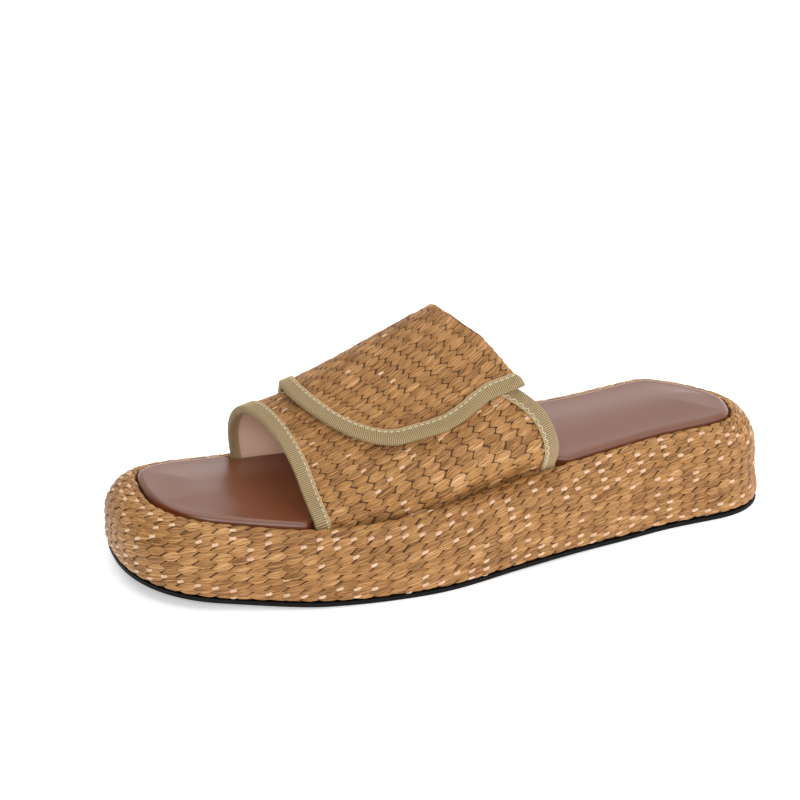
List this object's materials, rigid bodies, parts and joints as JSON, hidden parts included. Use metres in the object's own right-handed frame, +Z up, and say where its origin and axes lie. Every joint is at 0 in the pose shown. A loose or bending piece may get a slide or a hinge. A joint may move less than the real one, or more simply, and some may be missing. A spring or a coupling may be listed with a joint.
{
  "type": "platform slide sandal",
  "caption": "Open-toed platform slide sandal with a woven wrapped sole, a wide woven strap and an overlapping woven flap, edged in ribbed ribbon.",
  "frame": {"origin": "on the ground, below the middle of the shoe's overall box", "axes": "+Z up, +X along the shoe from toe to heel, -Y towards the outer side of the foot"},
  "size_m": [0.2644, 0.0938, 0.0929],
  "materials": {
    "rubber": "matt",
    "raffia": "woven, matt",
    "leather": "smooth, satin",
    "ribbon": "ribbed, matt"
  },
  "bodies": {
    "root": {"outsole": "rubber", "platform": "raffia", "insole": "leather", "upper": "raffia", "flap": "raffia", "binding_front": "ribbon", "binding_back": "ribbon", "binding_flap": "ribbon"}
  },
  "joints": []
}
